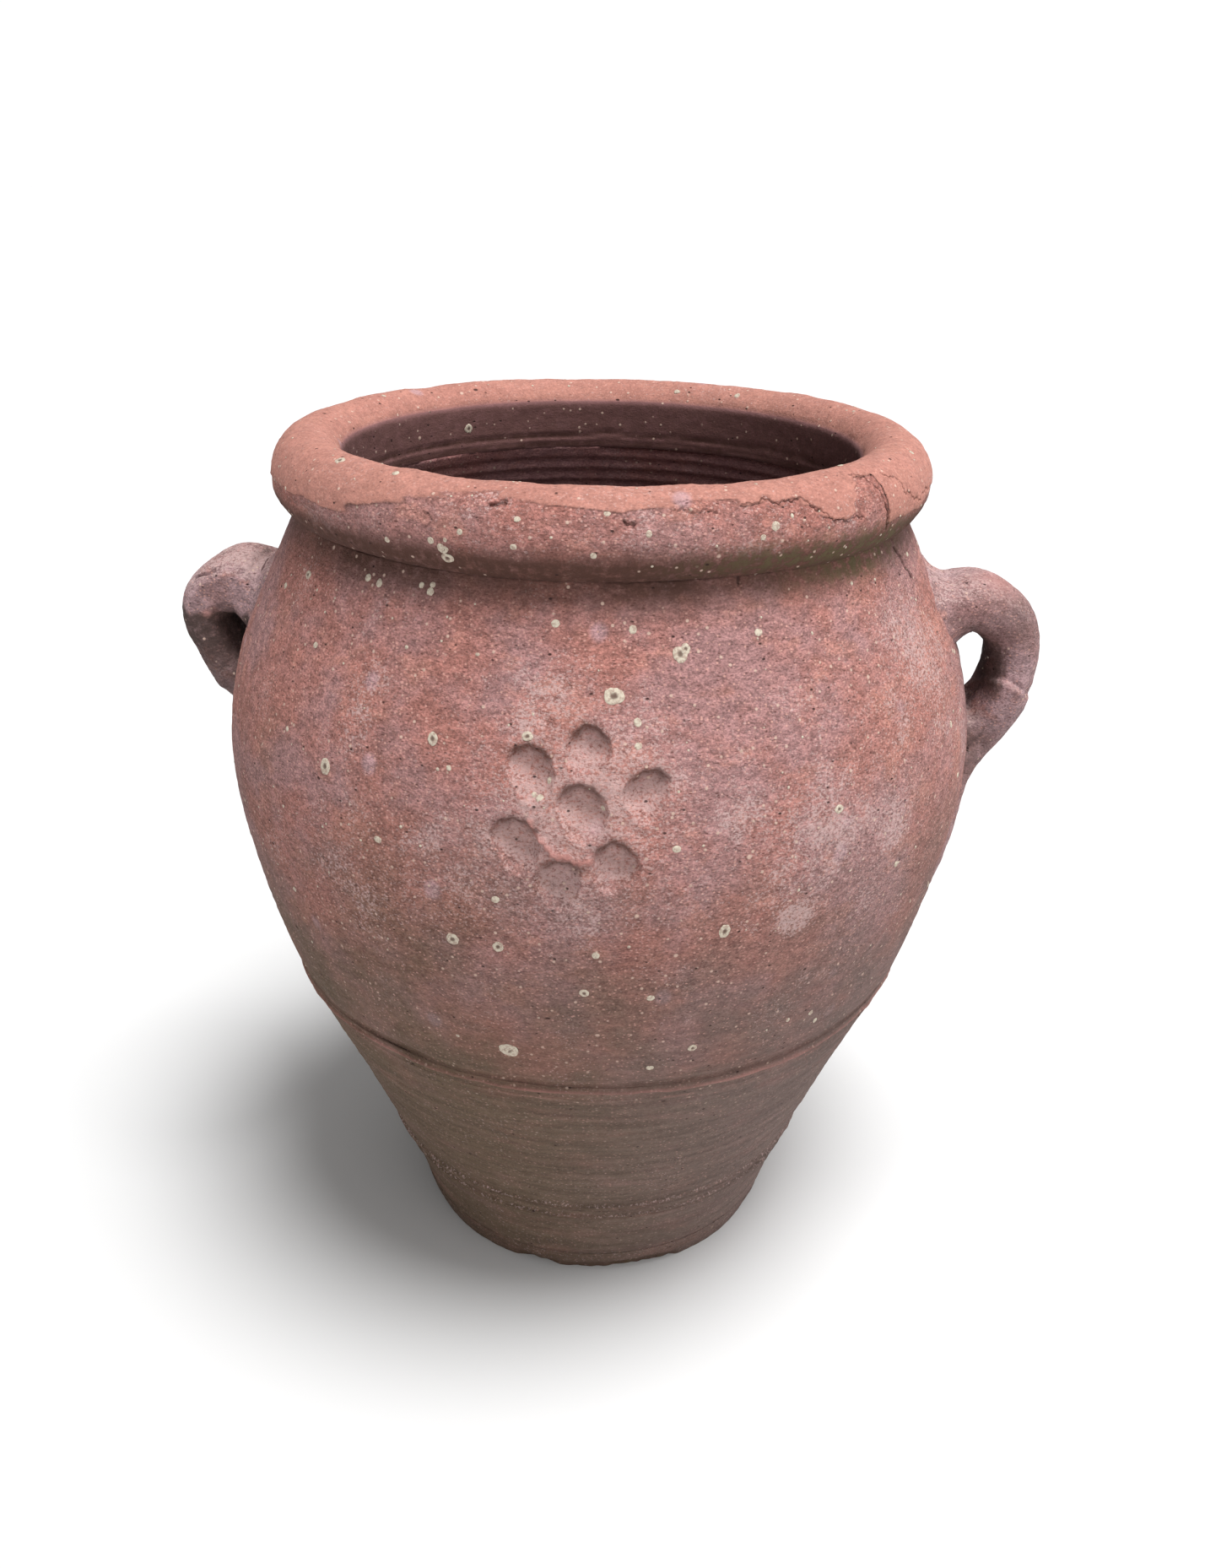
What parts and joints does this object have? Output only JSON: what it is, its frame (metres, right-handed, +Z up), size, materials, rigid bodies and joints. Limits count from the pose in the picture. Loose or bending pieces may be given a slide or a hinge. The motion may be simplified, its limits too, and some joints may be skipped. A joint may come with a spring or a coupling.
{
  "type": "olive jar",
  "caption": "Terracotta olive jar with a rolled rim, strap handles, a waisted foot and a finger-pressed rosette on the shoulder.",
  "frame": {"origin": "centre of the base disc's flat underside, on the ground", "axes": "+Z up along the jar's own axis, the rosette on the -Y side, the handles close to the X axis"},
  "size_m": [0.5171, 0.4458, 0.5241],
  "materials": {
    "foot_clay": "bare fired clay, soil-stained olive brown, fully matte",
    "body_clay": "weathered terracotta, sandy and lime-bloomed, fully matte",
    "rim_clay": "weathered terracotta with flaked skin, brighter orange, fully matte",
    "handle_clay": "weathered terracotta with white bloom above and dark soil below, fully matte"
  },
  "bodies": {
    "root": {"base_disc": "foot_clay", "foot_wall": "foot_clay", "lower_wall": "foot_clay", "upper_wall": "body_clay", "rim_roll": "rim_clay", "handle_right": "handle_clay", "handle_wad_right": "handle_clay", "handle_left": "handle_clay", "handle_wad_left": "handle_clay"}
  },
  "joints": []
}
